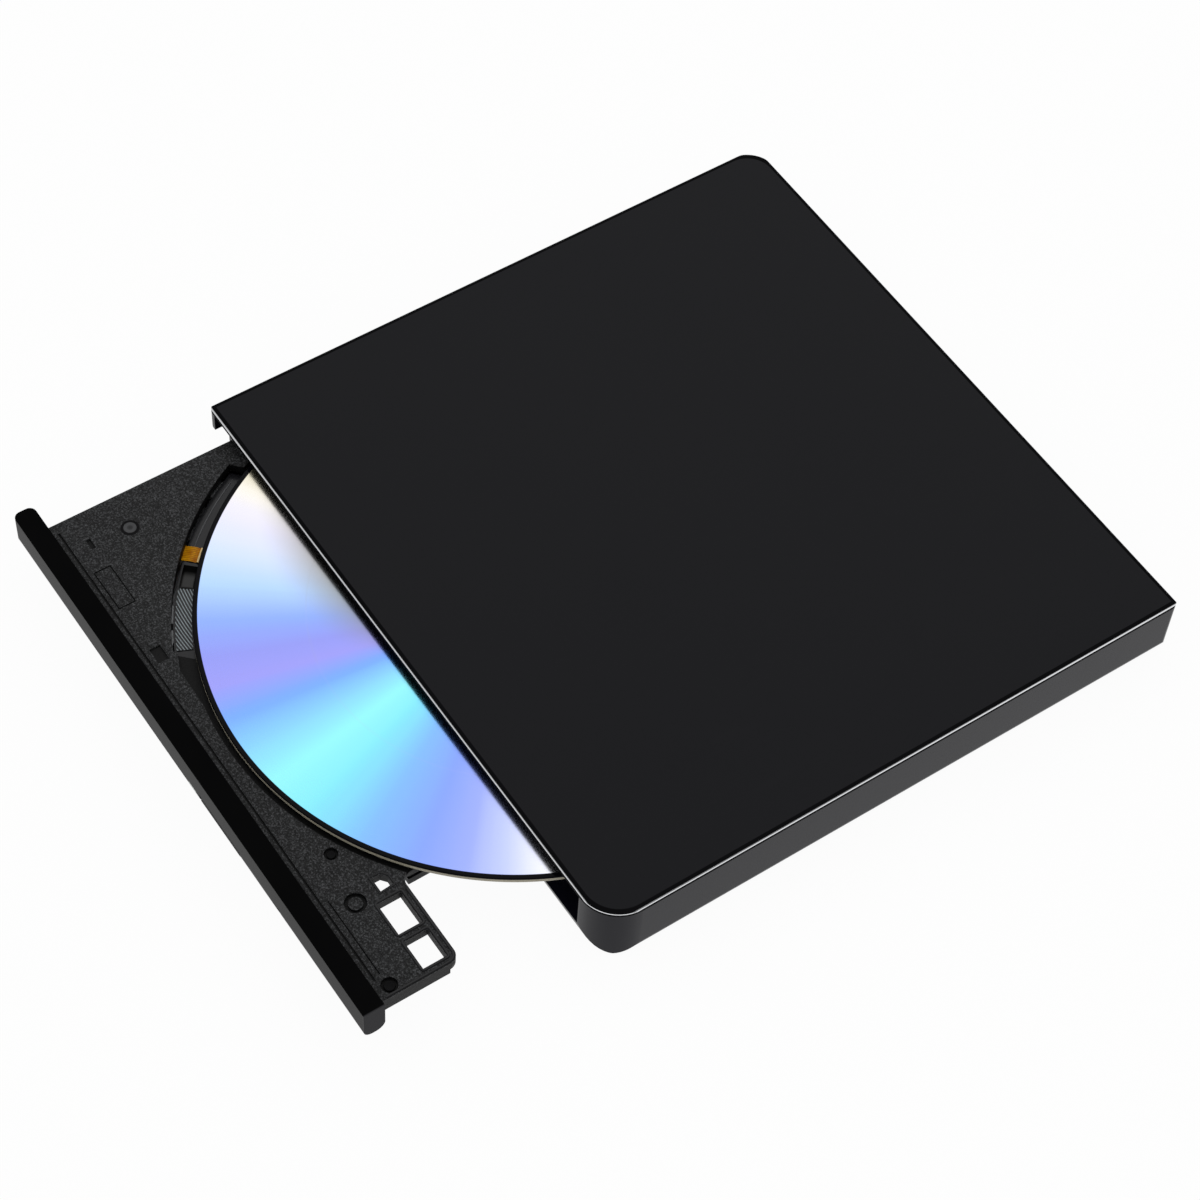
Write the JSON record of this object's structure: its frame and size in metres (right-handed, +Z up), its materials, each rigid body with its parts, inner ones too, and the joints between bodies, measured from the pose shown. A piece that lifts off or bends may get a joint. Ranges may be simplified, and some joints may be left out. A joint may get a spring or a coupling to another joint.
{
  "type": "external disc drive",
  "caption": "Flat slim external disc drive with a rounded case, a front tray on telescoping rails standing part way out and a mirror disc on its spindle.",
  "frame": {"origin": "on the desk, under the middle of the case", "axes": "+Z up; +Y from the tray's front to the back of the case; +X to the right as seen from the front"},
  "size_m": [0.1386, 0.1765, 0.0148],
  "materials": {
    "case_gloss": "gloss",
    "cover_satin": "satin",
    "tray_matte": "fine texture",
    "bezel_gloss": "gloss",
    "rail_plastic": "matt",
    "white_plastic": "matt",
    "black_plastic": "matt",
    "foot_rubber": "matt",
    "sheet_steel": "satin",
    "screw_steel": "plain",
    "shaft_steel": "polished",
    "frame_metal": "cast",
    "board_green": "lacquered",
    "flex_orange": "glossy film",
    "coil_copper": "wound wire",
    "disc_mirror": "diffracting mirror under clear plastic",
    "lens_clear": "clear",
    "strip_silver": "ribbed foil"
  },
  "bodies": {
    "case": {"bottom_case": "case_gloss", "top_cover": "cover_satin", "rubber_feet": "foot_rubber", "case_screws": "screw_steel", "base_pan": "sheet_steel", "pan_screws": "screw_steel", "top_shield": "sheet_steel", "left_rail_guide": "black_plastic", "right_rail_guide": "black_plastic", "main_board": "board_green", "board_chips": "black_plastic", "board_screws": "screw_steel", "usb_socket": "sheet_steel", "usb_tongue": "black_plastic", "flat_cable_socket": "white_plastic", "flat_cable": "flex_orange", "latch_pin": "shaft_steel"},
    "tray": {"tray": "tray_matte", "front_bezel": "bezel_gloss", "led_lens": "lens_clear", "status_led": "white_plastic", "eject_switch": "sheet_steel", "switch_board": "board_green", "tray_plate": "sheet_steel", "tray_screws": "screw_steel", "traverse_frame": "frame_metal", "traverse_cover": "black_plastic", "damper_grommets": "foot_rubber", "damper_screws": "screw_steel", "spindle_stator": "coil_copper", "main_guide_shaft": "shaft_steel", "sub_guide_shaft": "shaft_steel", "sled_motor": "sheet_steel", "latch_solenoid": "coil_copper", "pickup_flex": "flex_orange", "damping_strip": "strip_silver"},
    "left_rail": {"left_rail": "rail_plastic"},
    "right_rail": {"right_rail": "rail_plastic"},
    "spindle": {"turntable": "sheet_steel", "turntable_pad": "foot_rubber", "disc": "disc_mirror"},
    "jaw_1": {"chuck_jaw_1": "shaft_steel"},
    "jaw_2": {"chuck_jaw_2": "shaft_steel"},
    "jaw_3": {"chuck_jaw_3": "shaft_steel"},
    "pickup": {"pickup_carriage": "frame_metal", "screw_follower": "white_plastic"},
    "lens": {"lens_holder": "black_plastic", "objective_lens": "lens_clear"},
    "lead_screw": {"lead_screw": "shaft_steel"},
    "button": {"eject_button": "bezel_gloss"},
    "latch": {"latch_lever": "white_plastic"},
    "plunger": {"solenoid_plunger": "shaft_steel"}
  },
  "joints": [
    {"name": "tray_slide", "type": "slide", "parent": "case", "child": "tray", "axis": [0, -1, 0], "range_m": [-0.0445, 0.086]},
    {"name": "left_rail_slide", "type": "slide", "parent": "case", "child": "left_rail", "axis": [0, -1, 0], "range_m": [-0.02235, 0.0432]},
    {"name": "right_rail_slide", "type": "slide", "parent": "case", "child": "right_rail", "axis": [0, -1, 0], "range_m": [-0.02235, 0.0432]},
    {"name": "spindle_spin", "type": "hinge", "parent": "tray", "child": "spindle", "pos_m": [0.0002, -0.04065, 0.0107], "axis": [0, 0, 1], "continuous": true},
    {"name": "pickup_slide", "type": "slide", "parent": "tray", "child": "pickup", "axis": [-0.7071, -0.7071, 0], "range_m": [-0.0155, 0.017]},
    {"name": "lead_screw_spin", "type": "hinge", "parent": "tray", "child": "lead_screw", "pos_m": [0.01399, -0.05444, 0.00685], "axis": [-0.7071, -0.7071, 0], "continuous": true},
    {"name": "lens_focus", "type": "slide", "parent": "pickup", "child": "lens", "axis": [0, 0, 1], "range_m": [-0.0004, 0.0004], "stiffness_N_per_m": 60},
    {"name": "eject_press", "type": "slide", "parent": "tray", "child": "button", "axis": [0, 1, 0], "range_m": [0, 0.0008], "stiffness_N_per_m": 1500},
    {"name": "latch_turn", "type": "hinge", "parent": "tray", "child": "latch", "pos_m": [0.05145, -0.1037, 0.00705], "axis": [0, 0, 1], "range_deg": [0, 20.1]},
    {"name": "plunger_slide", "type": "slide", "parent": "tray", "child": "plunger", "axis": [-1, 0, 0], "range_m": [0, 0.0014], "stiffness_N_per_m": 125},
    {"name": "jaw_1_slide", "type": "slide", "parent": "spindle", "child": "jaw_1", "axis": [0.7071, 0.7071, 0], "range_m": [0, 0.0006], "stiffness_N_per_m": 200},
    {"name": "jaw_2_slide", "type": "slide", "parent": "spindle", "child": "jaw_2", "axis": [-0.9659, 0.2588, 0], "range_m": [0, 0.0006], "stiffness_N_per_m": 200},
    {"name": "jaw_3_slide", "type": "slide", "parent": "spindle", "child": "jaw_3", "axis": [0.2588, -0.9659, 0], "range_m": [0, 0.0006], "stiffness_N_per_m": 200}
  ],
  "couplings": [
    {"joint": "left_rail_slide", "follows": "tray_slide", "ratio": 0.5},
    {"joint": "right_rail_slide", "follows": "tray_slide", "ratio": 0.5},
    {"joint": "lead_screw_spin", "follows": "pickup_slide", "rad_per_m": 2094.4},
    {"joint": "latch_turn", "follows": "plunger_slide", "rad_per_m": 250}
  ]
}
